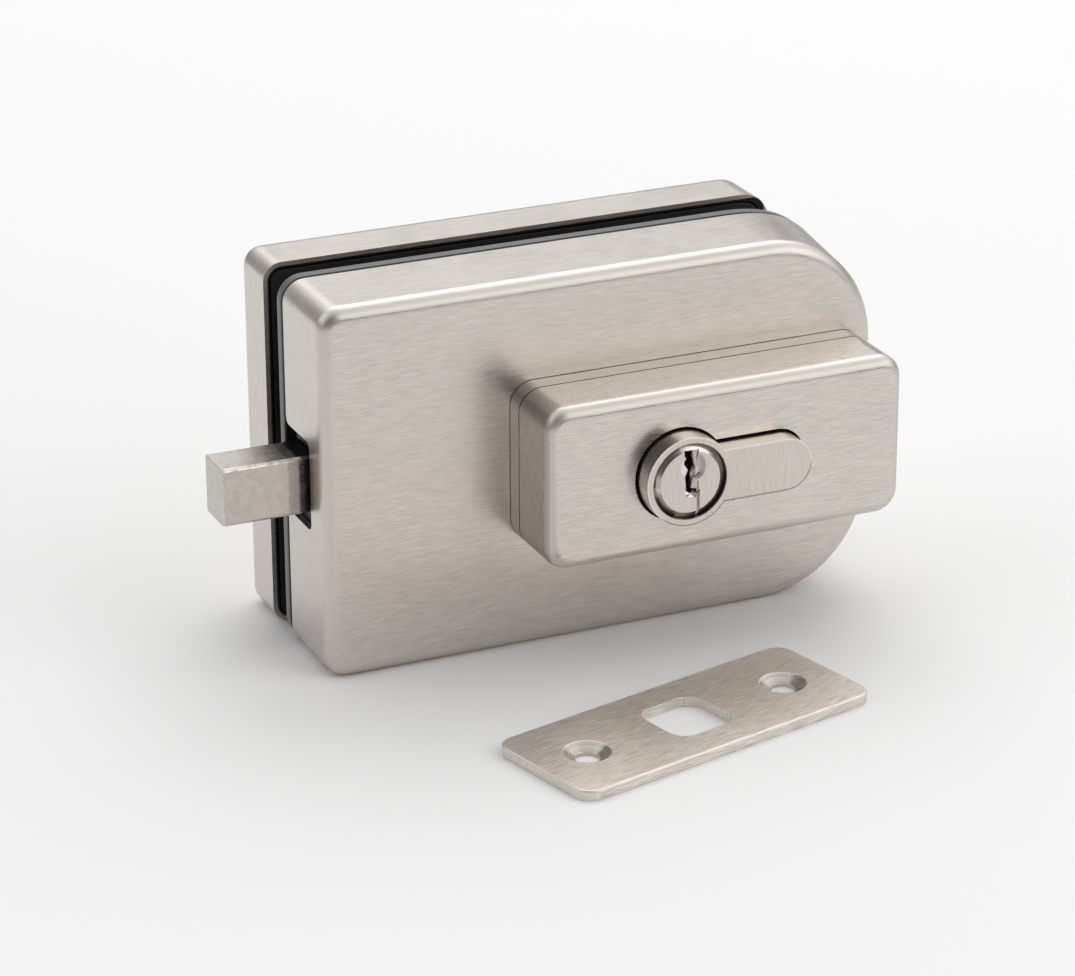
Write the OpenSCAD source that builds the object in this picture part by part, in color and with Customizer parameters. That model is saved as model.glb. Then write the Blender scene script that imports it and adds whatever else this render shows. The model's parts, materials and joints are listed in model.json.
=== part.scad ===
// Lock for a frameless glass door: a D-shaped case in front of the glass, a counter cover behind it,
// a profile half cylinder in a raised housing, a square bolt and a loose strike plate.
// The lock stands on its long side. X runs along the case away from the bolt, Y from front to back
// and Z up. The origin is the middle of the case's underside. Inside the modules lengths are
// counted from the case's bolt end (x), from its front face backwards (depth) and from its underside (z).

/* [Case] */
// Length of the case, from the bolt end to the round end
case_l = 110; // [108:0.5:125]
// Height of the case
case_h = 71; // [71:0.5:84]
// Depth of the front cover, from its face to its rim
case_d = 18.6; // [18.4:0.1:22]
// Sheet thickness of the front cover
case_wall = 1.3; // [1:0.1:1.5]
// Rounding of the front cover's face edge
case_edge_r = 2.6; // [2:0.1:3.2]
// Corner radius at the bolt end
case_corner_r = 5; // [5:0.1:8]
// Corner radius at the round end
case_round_r = 21.6; // [16:0.2:24]

/* [Chassis] */
// Space between a cover and what it is slipped over
cover_gap = 0.3; // [0.2:0.05:0.4]
// Floor thickness of the chassis
floor_t = 4; // [3.6:0.1:4.2]
// Wall thickness of the chassis
chassis_wall = 2.6; // [2:0.1:3]
// Thickness of the steel lid over the works
lid_t = 1.8; // [1.5:0.1:2]
// Height of the lid above the front cover's rim
lid_proud = 0.9; // [0.6:0.1:1.1]
// Distance of the lid's edge from the outside of the case
lid_inset = 2.4; // [2:0.1:3]

/* [Counter side] */
// How much shorter the rear cover is than the case
rear_short = 6.4; // [0:0.1:12]
// Depth of the rear cover
rear_d = 13; // [12.6:0.1:16]
// Sheet thickness of the rear cover
rear_wall = 1.3; // [1:0.1:1.5]
// Rounding of the rear cover's face edge
rear_edge_r = 3.5; // [2.5:0.1:4]
// Corner radius of the rear cover at the bolt end
rear_corner_r = 5; // [4.5:0.1:7]
// Corner radius of the rear cover at the other end
rear_round_r = 8; // [5:0.5:14]
// Thickness of the counter plate
rear_plate_t = 4; // [3.5:0.1:4.5]

/* [Glass and gaskets] */
// Space between the two gaskets, where the glass goes
glass_gap = 6.5; // [6:0.5:12]
// Thickness of the front gasket
gasket_t = 2.6; // [1.5:0.1:3]
// Thickness of the rear gasket
rear_gasket_t = 1.5; // [1:0.1:2]
// Distance of the front gasket's edge from the outside of the case
gasket_inset = 0.7; // [0.5:0.1:1.5]
// Corner radius of the front gasket at the bolt end
gasket_corner_r = 6.8; // [5:0.1:9]
// Rounding of the front gasket's edges, as a share of its thickness
gasket_soft = 0.3; // [0.1:0.05:0.4]

/* [Clamp screws] */
// Radius of the clamp screws
clamp_r = 2.45; // [2:0.05:2.9]
// Distance of the first pair of clamp screws from the bolt end
clamp_near_x = 15; // [13:0.5:18]
// Distance of the second pair of clamp screws from the round end
clamp_end_x = 18; // [17:0.5:20]
// Distance of the clamp screws from the long sides
clamp_edge_z = 9.5; // [9:0.1:11]
// Radius of the clamp screws' heads
clamp_head_r = 4.3; // [4:0.1:4.6]
// Height of the clamp screws' heads
clamp_head_h = 5; // [3:0.1:5.2]
// Wall of the sleeves round the clamp screws
sleeve_wall = 1.7; // [1.2:0.1:2]

/* [Cylinder] */
// Distance of the plug's axis from the round end
barrel_end_x = 47.9; // [45:0.1:49]
// Height of the plug's axis above the case's middle
barrel_rise = 1; // [0:0.1:1]
// Radius of the profile's ring
ring_r = 8.5; // [8.4:0.05:8.6]
// Width of the profile's tail
tail_w = 10; // [9.6:0.1:10.2]
// Height of the whole profile
profile_h = 33; // [32:0.1:33.5]
// Height of the cylinder above the housing
cylinder_proud = 4.2; // [1:0.1:5]
// Radius of the plug
plug_r = 6.45; // [6:0.05:6.7]
// Radius of the plug's head
plug_head_r = 7.2; // [6.9:0.1:7.4]
// Height of the plug's head
plug_head_h = 1.2; // [0.8:0.1:2]
// Width of the bevel round the plug's face
plug_bevel_w = 1.3; // [0.6:0.1:1.6]
// Depth of the dished hollow round the key slot
dish_d = 0.45; // [0.2:0.05:0.6]
// Radius of the plug's stub that carries the cam
stub_r = 4.6; // [4:0.1:5]
// Radial clearance of the turning pieces
turn_gap = 0.05; // [0.02:0.01:0.08]
// Width of the cam
cam_w = 9.6; // [9:0.1:9.8]
// Radius of the cam's hub
cam_hub_r = 8.2; // [7.8:0.1:8.4]
// Reach of the cam's nose
cam_r = 15; // [14:0.1:15.2]
// Width of the cam's nose at its tip
nose_w = 7; // [5:0.5:8]
// Turn of the cam's nose from the tail, with the key out
nose_rest = -30; // [-35:1:-25]
// Length of the bearing behind the cam
rear_bearing_l = 3; // [2.5:0.1:3.2]
// Number of pins
pin_count = 5; // [3:1:5]
// Distance between the pins
pin_pitch = 3.8; // [3.6:0.1:4]
// Radius of the pins
pin_r = 1.35; // [1.2:0.05:1.45]
// Radius of the cylinder's fixing screw
fix_r = 2.4; // [2:0.05:2.45]

/* [Housing] */
// Distance of the housing from the round end
housing_end_x = 2.5; // [1:0.1:4]
// Length of the housing
housing_l = 71.5; // [69:0.5:80]
// Height of the housing
housing_h = 31; // [28:0.2:34]
// Height of the housing's middle above the plug's axis
housing_rise = 0.3; // [0:0.1:1]
// Depth of the housing with its base
housing_d = 16.6; // [15:0.2:20]
// Thickness of the housing's base layer
base_t = 4; // [3:0.5:6]
// Wall of the housing's cover
housing_wall = 1.6; // [1.2:0.1:2]
// Rounding of the housing's face edge
housing_edge_r = 2.4; // [2:0.1:3]
// Corner radius of the housing
housing_corner_r = 4.5; // [4:0.1:6]
// Gap that shows as a line between the base and the cover
seam = 0.2; // [0.1:0.05:0.3]
// Gap round the cylinder where it leaves the housing
mouth_gap = 0.45; // [0.3:0.05:0.8]
// Distance of the housing's screws from its ends
housing_screw_inset = 8; // [7:0.5:9]

/* [Bolt] */
// Height of the bolt
bolt_h = 11; // [10:0.5:12]
// Thickness of the bolt
bolt_t = 8.9; // [8.5:0.1:8.9]
// Travel of the bolt
throw = 16; // [12:0.5:16]
// Room between the drawn bolt and the cam's nose
bolt_room = 1; // [1:0.1:3]
// Chamfer of the bolt's edges
bolt_chamfer = 0.5; // [0.3:0.1:0.8]
// Height of the notch in the front cover
notch_h = 17; // [14:0.5:18]
// Distance of the notch from the front face
notch_d = 7; // [6:0.1:8]
// Rounding of the notch's corners
notch_r = 1.4; // [0.6:0.1:2]
// Gap on each side of a sliding piece
slide_gap = 0.3; // [0.2:0.05:0.4]
// Thickness of the bolt's carriage
carriage_t = 2.6; // [2.2:0.1:2.6]
// Height of the carriage's arm
arm_h = 7.8; // [7:0.1:8]
// Distance of the arm's lower edge from the plug's axis
arm_z = 11.2; // [10.5:0.1:11.5]

/* [Strike plate] */
// Length of the strike plate
strike_l = 66; // [60:0.5:80]
// Width of the strike plate
strike_w = 26; // [22:0.5:32]
// Thickness of the strike plate
strike_t = 2; // [1.8:0.1:4]
// Corner radius of the strike plate
strike_corner_r = 3.5; // [1:0.5:5]
// Rounding of the strike plate's upper edge
strike_edge_r = 0.4; // [0.2:0.1:0.8]
// Distance between the strike plate's screw holes
strike_holes = 45; // [40:0.5:48]
// Radius of the strike plate's screw holes
strike_hole_r = 2.3; // [2:0.1:2.8]
// Radius of the countersinks
sink_r = 4.4; // [4:0.1:4.6]
// Depth of the countersinks
sink_d = 1.3; // [0.8:0.1:1.4]
// Width of the square hole for the bolt
strike_window = 13.4; // [12:0.2:16]
// Corner radius of the square hole
window_r = 3.5; // [1:0.5:4]
// Place of the strike plate's middle along X
strike_x = -4; // [-30:0.5:30]
// Place of the strike plate's middle in front of the case's face
strike_y = 43; // [40:0.5:80]
// Turn of the strike plate
strike_turn = 14; // [-20:0.5:20]

/* [Hidden] */
$fn = 64;
over = 1;
satin = [0.72, 0.70, 0.67];
nickel = [0.70, 0.67, 0.62];
zinc = [0.55, 0.56, 0.58];
steel = [0.45, 0.46, 0.48];
dark = [0.16, 0.16, 0.17];
brass = [0.76, 0.62, 0.34];
rubber = [0.24, 0.25, 0.27];

// places along the case and above its underside
mid_z = case_h / 2;
rear_l = case_l - rear_short;
clamp_far_x = case_l - clamp_end_x;
barrel_x = case_l - barrel_end_x;
barrel_z = mid_z + barrel_rise;
housing_x = case_l - housing_end_x - housing_l;
bolt_in = barrel_x - cam_r - throw - bolt_room;

// depths, counted from the case's front face
chassis_in = case_wall + cover_gap;
floor_top = chassis_in + floor_t;
lid_back = case_d + lid_proud;
lid_front = lid_back - lid_t;
gasket_back = lid_back + gasket_t;
rear_rim = gasket_back + glass_gap;
rear_plate_front = rear_rim + rear_gasket_t;
rear_plate_back = rear_plate_front + rear_plate_t;
carriage_front = floor_top + slide_gap;
bolt_front = carriage_front + carriage_t;
bolt_back = bolt_front + bolt_t;
cam_gap = 0.2;
cam_front = floor_top + slide_gap + cam_gap;
cam_back = cam_front + cam_w;
cam_mid = (cam_front + cam_back) / 2;
body_front = -housing_d - cylinder_proud;
body_stop = cam_front - slide_gap;
bearing_front = cam_back + slide_gap;
bearing_back = bearing_front + rear_bearing_l;
circlip_t = 0.8;
circlip_in = 0.5;
circlip_out = 0.9;
circlip_slot = 2;
circlip_front = bearing_back + cam_gap;
stub_back = circlip_front + circlip_t + circlip_in;

case_radii = [case_corner_r, case_round_r, case_round_r, case_corner_r];
rear_radii = [rear_corner_r, rear_round_r, rear_round_r, rear_corner_r];
gasket_round_r = case_round_r - gasket_inset;
gasket_radii = [gasket_corner_r, gasket_round_r, gasket_round_r, gasket_corner_r];
housing_radii = [housing_corner_r, housing_corner_r, housing_corner_r, housing_corner_r];
housing_z = barrel_z + housing_rise - housing_h / 2;
clamp_places = [for (x = [clamp_near_x, clamp_far_x], z = [clamp_edge_z, case_h - clamp_edge_z]) [x, z]];
clamp_post_r = clamp_r + chassis_wall;
clamp_tip = 3;
sleeve_r = clamp_r + cover_gap + sleeve_wall;
lid_screw_r = 1.2;
lid_head_h = 1.1;
slot_w = 0.5;
lid_screw_side = 8.2;
lid_screw_rise = 14;
lid_screw_near_x = barrel_x - 25;
lid_screw_far_x = case_l - 9;
lid_screw_places = [[lid_screw_near_x, lid_screw_side], [lid_screw_near_x, case_h - lid_screw_side],
  [lid_screw_far_x, mid_z - lid_screw_rise], [lid_screw_far_x, mid_z + lid_screw_rise]];
lid_post_r = lid_screw_r + 2;
housing_screw_r = 1.7;
housing_head_h = 1.2;
housing_screw_places = [[housing_x + housing_screw_inset, mid_z],
  [housing_x + housing_l - housing_screw_inset, mid_z]];
grub_r = 1.45;
grub_h = 3.4;
grub_start = 0.4;
front_grubs = [clamp_near_x + 11, barrel_x + 7];
rear_grubs = [clamp_near_x + 11, clamp_far_x - 16];
front_grub_depth = 12;
rear_grub_depth = rear_plate_front + rear_plate_t / 2;
thread_gap = 0.05;
tail_r = tail_w / 2;
tail_x = profile_h - ring_r - tail_r;
bridge_x = cam_r + 1.2;
fix_x = barrel_x + (bridge_x + profile_h - ring_r) / 2;
fix_head_r = 4.2;
fix_head_h = 2.6;
fix_seat_z = chassis_in + 3.9;
fix_boss_top = fix_seat_z + 4;
fix_boss_wall = 1.6;
first_pin = body_front + 6;
chamber_r = pin_r + 0.1;
bevel_d = plug_head_h - 0.2;
dish_r = 2.7;
dish_x = 0.6;
dish_z = 2.8;
dish_ball_r = (dish_r * dish_r + dish_d * dish_d) / (2 * dish_d);
key_top = plug_r - 0.45;
key_groove_x = 1.3;
key_groove_w = 0.6;
key_groove_d = bevel_d - 0.1;
tab_w = 2.6;
tab_l = 2.5;
pin_taper = 0.6;
driver_start = plug_r + 0.15;
driver_l = 5;
key_pin_end = plug_r - 0.2;
key_pin_start = 1.5;
cap_l = 2.4;
cap_start = profile_h - ring_r - cap_l - 0.4;
spring_turns = 6;
spring_wire_r = 0.18;
spring_coil_r = 1.05;
arm_low = barrel_z + arm_z;
arm_top = arm_low + arm_h;
carriage_x0 = chassis_in + chassis_wall + 1.8;
carriage_end = bolt_in - 1;
riser_w = 13.5;
riser_x0 = carriage_end - riser_w;
arm_end = barrel_x + 13;
rib_t = 2.2;
// the cam's nose is above the arm's lower edge for so long, while the bolt travels on
nose_pass = (270 + nose_rest) / 360 * throw;
nose_turn = acos(arm_z / cam_r) + asin(nose_w / 2 / cam_r);
arch_r = cam_r + 0.4;
arch_drift = throw * nose_turn / 360 + slide_gap / 2;
arch_x = barrel_x - nose_pass;
detent_x = barrel_x - 5;
detent_deep = 1.4;
detent_half = 1.8;
leaf_t = 0.5;
leaf_z = arm_top + 1.6;
leaf_w = 4;
leaf_side = 0.3;
leaf_x0 = detent_x - 31;
leaf_tail = 5;
bump_half = 3.2;
bump_z = arm_top - detent_deep + 0.5;
leaf_block_l = 8;
detent_rivet_r = 0.9;
detent_head_h = 0.6;
detent_rivet_in = 3;
detent_rivet_xs = [leaf_x0 + 2, leaf_x0 + leaf_block_l - 2];
carriage_rivet_r = 1.6;
carriage_rivet_in = 3.8;
carriage_rivet_xs = [carriage_x0 + 4, carriage_end - 6];

// lengths counted from the bolt end and the front face become places in the part's own frame
module lock() {
  translate([-case_l / 2, -case_d / 2, 0]) children();
}

// a flat shape in x and z, given thickness from depth a to depth b
module sheet(a, b) {
  translate([0, b, 0]) rotate([90, 0, 0]) linear_extrude(b - a) children();
}

// a round rod or hole that runs in depth
module rod(x, z, r, a, b) {
  translate([x, b, z]) rotate([90, 0, 0]) cylinder(r = r, h = b - a);
}

// a cone in depth, radius ra at depth a and rb at depth b
module cone(x, z, ra, rb, a, b) {
  translate([x, b, z]) rotate([90, 0, 0]) cylinder(r1 = rb, r2 = ra, h = b - a);
}

function corner_at(l, h, r, i) = [
  [r[0], r[0]], [l - r[1], r[1]], [l - r[2], h - r[2]], [r[3], h - r[3]]][i];

// rectangle with four corner radii: near bottom, far bottom, far top, near top
module outline(l, h, r) {
  polygon([[r[0], 0], [l - r[1], 0], [l, r[1]], [l, h - r[2]],
    [l - r[2], h], [r[3], h], [0, h - r[3]], [0, r[0]]]);
  for (i = [0:3]) translate(corner_at(l, h, r, i)) circle(r = r[i]);
}

// the same rectangle with its edge moved in by a distance
module inset_outline(l, h, r, inset) {
  translate([inset, inset]) outline(l - 2 * inset, h - 2 * inset, [for (q = r) q - inset]);
}

// drawn shell form: rounded face at depth 0, straight rim at depth d
module soft_plate(l, h, d, r, e) {
  sheet(e, d) outline(l, h, r);
  sheet(0, d) inset_outline(l, h, r, e);
  translate([0, e, 0]) {
    for (i = [0:3]) {
      c = corner_at(l, h, r, i);
      translate([c[0], 0, c[1]]) rotate([90, 0, 0]) rotate([0, 0, 180 + 90 * i])
        rotate_extrude(angle = 90) intersection() {
          translate([r[i] - e, 0]) circle(r = e);
          translate([0, -e]) square([r[i], 2 * e]);
        }
    }
    translate([r[0], 0, e]) rotate([0, 90, 0]) cylinder(r = e, h = l - r[0] - r[1]);
    translate([r[3], 0, h - e]) rotate([0, 90, 0]) cylinder(r = e, h = l - r[3] - r[2]);
    translate([e, 0, r[0]]) cylinder(r = e, h = h - r[0] - r[3]);
    translate([l - e, 0, r[1]]) cylinder(r = e, h = h - r[1] - r[2]);
  }
}

// the soft form with every side moved in, for a cavity or for what fills it
module inner_plate(l, h, d, r, e, inset) {
  translate([inset, inset, inset])
    soft_plate(l - 2 * inset, h - 2 * inset, d - inset, [for (q = r) q - inset], e);
}

// the profile of the cylinder: ring, and a tail that points away from the bolt
module profile(gap) {
  translate([barrel_x, barrel_z]) {
    circle(r = ring_r + gap);
    translate([0, -tail_r - gap]) square([tail_x, tail_w + 2 * gap]);
    translate([tail_x, 0]) circle(r = tail_r + gap);
  }
}

// the notch for the bolt, open at the rim: rounded where it starts, flared where it meets the rim
module notch() {
  tall = notch_h / 2;
  translate([notch_d + notch_r, mid_z - tall]) square([case_d, notch_h]);
  translate([notch_d, mid_z - tall + notch_r]) square([case_d, notch_h - 2 * notch_r]);
  for (side = [-1, 1]) translate([0, mid_z + side * tall]) {
    translate([notch_d + notch_r, -side * notch_r]) circle(r = notch_r);
    difference() {
      translate([case_d - notch_r, -notch_r]) square([notch_r + over, 2 * notch_r]);
      translate([case_d - notch_r, side * notch_r]) circle(r = notch_r);
    }
  }
}

module front_cover() color(satin) lock() difference() {
  soft_plate(case_l, case_h, case_d, case_radii, case_edge_r);
  inner_plate(case_l, case_h, case_d + over, case_radii, case_edge_r - case_wall, case_wall);
  translate([-over, 0, 0]) rotate([90, 0, 90]) linear_extrude(case_wall + 2 * over) notch();
  sheet(-over, case_wall + over) profile(mouth_gap);
  for (p = housing_screw_places) rod(p[0], p[1], housing_screw_r + cover_gap, -over, case_wall + over);
  for (x = front_grubs) translate([x, front_grub_depth, -over])
    cylinder(r = grub_r + thread_gap, h = case_wall + 2 * over);
  translate([fix_x, cam_mid, -over]) cylinder(r = fix_head_r + cover_gap, h = case_wall + 2 * over);
}

module chassis_walls() difference() {
  inner_plate(case_l, case_h, lid_front, case_radii, case_edge_r - case_wall + cover_gap, chassis_in);
  sheet(floor_top, lid_front + over)
    inset_outline(case_l, case_h, case_radii, chassis_in + chassis_wall);
}

module chassis_posts() {
  for (p = clamp_places) rod(p[0], p[1], clamp_post_r, floor_top - over, lid_front);
  for (p = lid_screw_places) rod(p[0], p[1], lid_post_r, floor_top - over, lid_front);
  // boss for the cylinder's screw
  translate([fix_x, cam_mid, chassis_in + over])
    cylinder(r = fix_head_r + fix_boss_wall, h = fix_boss_top - chassis_in - over);
  // block that carries the detent leaf
  leaf_top = leaf_z + leaf_t;
  translate([leaf_x0, floor_top - over, leaf_top])
    cube([leaf_block_l, over + leaf_side + leaf_w + chassis_wall / 3, case_h - chassis_in - over - leaf_top]);
  // guide ribs below and above the bolt
  translate([chassis_in + over, floor_top - over, mid_z - bolt_h / 2 - slide_gap - rib_t])
    cube([bolt_in + throw - chassis_wall - over, bolt_back - floor_top + over, rib_t]);
  translate([chassis_in + over, floor_top - over, mid_z + bolt_h / 2 + slide_gap])
    cube([riser_x0 - slide_gap - chassis_in - over, bolt_back - floor_top + over, rib_t]);
}

module lock_case() color(zinc) lock() difference() {
  union() {
    chassis_walls();
    chassis_posts();
  }
  // way out for the bolt
  translate([-over, bolt_front - slide_gap, mid_z - bolt_h / 2 - slide_gap])
    cube([chassis_in + chassis_wall + 2 * over, case_d, bolt_h + 2 * slide_gap]);
  sheet(-over, floor_top + over) profile(thread_gap * 3);
  for (p = clamp_places) rod(p[0], p[1], clamp_r + thread_gap, floor_top + clamp_tip - 1, lid_front + over);
  for (p = lid_screw_places)
    rod(p[0], p[1], lid_screw_r + thread_gap, floor_top + clamp_tip, lid_front + over);
  for (p = housing_screw_places) {
    rod(p[0], p[1], housing_screw_r + thread_gap, 0, floor_top + over);
    cone(p[0], p[1], housing_screw_r + thread_gap, housing_screw_r + housing_head_h + 0.2,
      floor_top - housing_head_h - 0.2, floor_top + 0.01);
  }
  for (x = front_grubs) translate([x, front_grub_depth, 0]) cylinder(r = grub_r + thread_gap, h = grub_h + 1);
  translate([fix_x, cam_mid, 0]) cylinder(r = fix_head_r + cover_gap, h = fix_seat_z);
  translate([fix_x, cam_mid, 0]) cylinder(r = fix_r + cover_gap, h = fix_boss_top + over);
  for (x = detent_rivet_xs) translate([x, floor_top + leaf_side + leaf_w / 2, leaf_z])
    cylinder(r = detent_rivet_r + thread_gap, h = leaf_t + detent_rivet_in + 1);
}

module case_lid() color(dark) lock() difference() {
  sheet(lid_front, lid_back) inset_outline(case_l, case_h, case_radii, lid_inset);
  for (p = clamp_places) rod(p[0], p[1], clamp_r + cover_gap, lid_front - over, lid_back + over);
  for (p = lid_screw_places) {
    rod(p[0], p[1], lid_screw_r + thread_gap, lid_front - over, lid_back + over);
    cone(p[0], p[1], lid_screw_r + thread_gap, lid_screw_r + lid_head_h + 0.15,
      lid_back - lid_head_h - 0.1, lid_back + 0.01);
  }
  sheet(lid_front - over, lid_back + over) profile(cover_gap);
}

module lid_screws() color(steel) lock() for (p = lid_screw_places) {
  rod(p[0], p[1], lid_screw_r, floor_top + clamp_tip + 1, lid_back - lid_head_h / 2);
  difference() {
    cone(p[0], p[1], lid_screw_r, lid_screw_r + lid_head_h, lid_back - lid_head_h, lid_back);
    translate([p[0] - slot_w / 2, lid_back - lid_head_h / 2, p[1] - lid_post_r])
      cube([slot_w, over, 2 * lid_post_r]);
  }
}

module gasket_half() soft_plate(case_l - 2 * gasket_inset, case_h - 2 * gasket_inset, gasket_t / 2,
  gasket_radii, gasket_soft * gasket_t);

module front_gasket() color(rubber) lock() difference() {
  translate([gasket_inset, lid_back, gasket_inset]) {
    gasket_half();
    translate([0, gasket_t, 0]) mirror([0, 1, 0]) gasket_half();
  }
  for (p = clamp_places) rod(p[0], p[1], sleeve_r + cover_gap, lid_back - over, gasket_back + over);
  sheet(lid_back - over, gasket_back + over) profile(2 * mouth_gap);
}

module rear_gasket() color(dark) lock() difference() {
  sheet(rear_rim, rear_plate_front)
    inset_outline(rear_l, case_h, rear_radii, rear_wall + cover_gap);
  for (p = clamp_places) rod(p[0], p[1], sleeve_r + cover_gap, rear_rim - over, rear_plate_front + over);
}

module rear_plate() color(zinc) lock() difference() {
  sheet(rear_plate_front, rear_plate_back)
    inset_outline(rear_l, case_h, rear_radii, rear_wall + cover_gap);
  for (p = clamp_places)
    rod(p[0], p[1], clamp_r + cover_gap, rear_plate_front - over, rear_plate_back + over);
  for (x = rear_grubs) translate([x, rear_grub_depth, 0]) cylinder(r = grub_r + thread_gap, h = grub_h + 1);
}

module rear_cover() color(satin) lock() translate([0, rear_rim + rear_d, 0]) difference() {
  mirror([0, 1, 0]) soft_plate(rear_l, case_h, rear_d, rear_radii, rear_edge_r);
  mirror([0, 1, 0])
    inner_plate(rear_l, case_h, rear_d + over, rear_radii, rear_edge_r - rear_wall, rear_wall);
  for (x = rear_grubs) translate([x, rear_grub_depth - rear_rim - rear_d, -over])
    cylinder(r = grub_r + thread_gap, h = rear_wall + 2 * over);
}

module clamp_screws() color(steel) lock() for (p = clamp_places) difference() {
  union() {
    rod(p[0], p[1], clamp_r, floor_top + clamp_tip, rear_plate_back + over);
    rod(p[0], p[1], clamp_head_r, rear_plate_back, rear_plate_back + clamp_head_h);
  }
  translate([p[0], rear_plate_back + clamp_head_h + over, p[1]]) rotate([90, 0, 0])
    cylinder(r = clamp_r * 0.75, h = over + clamp_head_h * 0.3, $fn = 6);
}

module clamp_sleeves() color(dark) lock() for (p = clamp_places) difference() {
  rod(p[0], p[1], sleeve_r, lid_back, rear_plate_front);
  rod(p[0], p[1], clamp_r + cover_gap, lid_back - over, rear_plate_front + over);
}

module grub(x, depth) translate([x, depth, grub_start]) difference() {
  cylinder(r = grub_r, h = grub_h);
  translate([0, 0, -over]) cylinder(r = grub_r * 0.55, h = over + grub_h / 3, $fn = 6);
}

module cover_screws() color(steel) lock() {
  for (x = front_grubs) grub(x, front_grub_depth);
  for (x = rear_grubs) grub(x, rear_grub_depth);
}

module housing_base() color(satin) lock() difference() {
  translate([housing_x, 0, housing_z]) {
    sheet(-base_t, -seam) outline(housing_l, housing_h, housing_radii);
    // set back behind the edge, for the line that shows along the case
    sheet(-seam - over, 0) inset_outline(housing_l, housing_h, housing_radii, 2 * seam);
  }
  sheet(-base_t - over, over) profile(mouth_gap);
  for (p = housing_screw_places) rod(p[0], p[1], housing_screw_r + cover_gap, -base_t - over, over);
}

module housing_shell() translate([housing_x, -housing_d, housing_z]) difference() {
  soft_plate(housing_l, housing_h, housing_d - base_t - seam, housing_radii, housing_edge_r);
  inner_plate(housing_l, housing_h, housing_d, housing_radii, housing_edge_r - housing_wall, housing_wall);
}

module housing_cover() color(satin) lock() difference() {
  union() {
    housing_shell();
    for (p = housing_screw_places)
      rod(p[0], p[1], housing_screw_r + 2, -housing_d + housing_wall / 2, -base_t - seam);
  }
  sheet(-housing_d - over, -housing_d + housing_wall + over) profile(mouth_gap);
  for (p = housing_screw_places)
    rod(p[0], p[1], housing_screw_r + thread_gap, -housing_d + housing_wall + 1, 0);
}

module housing_screws() color(steel) lock() for (p = housing_screw_places) difference() {
  union() {
    rod(p[0], p[1], housing_screw_r, -housing_d + housing_wall + 2, floor_top - housing_head_h / 2);
    cone(p[0], p[1], housing_screw_r, housing_screw_r + housing_head_h,
      floor_top - housing_head_h, floor_top);
  }
  translate([p[0], floor_top + over, p[1]]) rotate([90, 0, 0])
    cylinder(r = housing_screw_r * 0.65, h = over + housing_head_h * 0.8, $fn = 6);
}

// rod or hole along x from the plug's axis, at one pin's depth
module pin_rod(i, r, from, to) {
  translate([barrel_x + from, first_pin + i * pin_pitch, barrel_z]) rotate([0, 90, 0])
    cylinder(r = r, h = to - from);
}

module cylinder_body() color(nickel) lock() difference() {
  sheet(body_front, bearing_back) profile(0);
  // room for the cam between the two bearings
  sheet(body_stop, bearing_front) translate([barrel_x - profile_h, barrel_z - profile_h])
    square([profile_h + bridge_x, 2 * profile_h]);
  rod(barrel_x, barrel_z, plug_r + turn_gap, body_front - over, body_stop + over);
  rod(barrel_x, barrel_z, plug_head_r + turn_gap, body_front - over, body_front + plug_head_h + turn_gap);
  rod(barrel_x, barrel_z, stub_r + turn_gap, bearing_front - over, bearing_back + over);
  for (i = [0:pin_count - 1]) pin_rod(i, chamber_r, plug_r - 1, profile_h);
  translate([fix_x, cam_mid, barrel_z - tail_w]) cylinder(r = fix_r + thread_gap, h = 2 * tail_w);
}

module cylinder_screw() color(steel) lock() translate([fix_x, cam_mid, 0]) difference() {
  union() {
    translate([0, 0, fix_seat_z - fix_head_h]) cylinder(r = fix_head_r, h = fix_head_h);
    translate([0, 0, fix_seat_z - over]) cylinder(r = fix_r, h = barrel_z + tail_r + over - fix_seat_z);
  }
  translate([0, 0, fix_seat_z - fix_head_h - over])
    cylinder(r = fix_r * 0.8, h = over + fix_head_h / 2, $fn = 6);
}

// wavy slot for the key, upright because the pins lie sideways
module keyway() polygon([[-1.25, key_top], [-1.15, 4.9], [-0.75, 4.5], [-1.15, 4.1], [-1.15, 3.4],
  [-0.35, 2.2], [-1.05, 1], [-0.9, -0.9], [-1, -2.5], [-0.4, -3.2], [1, -3.2], [1.65, -2.6],
  [1.65, -0.2], [0.9, 0.6], [2, 1.4], [1.9, 2.3], [1.4, 3], [1.4, 4.6], [1.65, key_top]]);

// the key slot with the dished hollow round its mouth and the narrow groove below it
module key_slot() translate([barrel_x, body_front, barrel_z]) {
  sheet(-over, body_stop - body_front - 4) keyway();
  sheet(-over, key_groove_d) translate([key_groove_x, -plug_head_r - over]) square([key_groove_w, plug_r]);
  translate([dish_x, dish_d - dish_ball_r, dish_z]) sphere(r = dish_ball_r);
}

// the plug's two tabs, which turn the cam
module plug_tabs(gap) intersection() {
  circle(r = plug_r - 0.25 + gap);
  square([2 * plug_r, tab_w + 2 * gap], center = true);
}

// half section of the plug: bevelled head, body, stub, and the groove for the circlip
module plug_section() {
  stop = body_stop - body_front;
  groove = circlip_front - body_front;
  polygon([[0, 0], [plug_head_r - plug_bevel_w, 0], [plug_head_r, bevel_d], [plug_head_r, plug_head_h],
    [plug_r, plug_head_h], [plug_r, stop], [stub_r, stop], [stub_r, groove], [stub_r - circlip_in, groove],
    [stub_r - circlip_in, groove + circlip_t], [stub_r, groove + circlip_t], [stub_r, stub_back - body_front],
    [0, stub_back - body_front]]);
}

module cylinder_plug() color(nickel) lock() difference() {
  union() {
    translate([barrel_x, body_front, barrel_z]) rotate([-90, 0, 0]) rotate_extrude() plug_section();
    sheet(body_stop - over, cam_front + tab_l) translate([barrel_x, barrel_z]) plug_tabs(0);
  }
  key_slot();
  for (i = [0:pin_count - 1]) pin_rod(i, chamber_r, 0, plug_r + 1);
}

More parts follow.
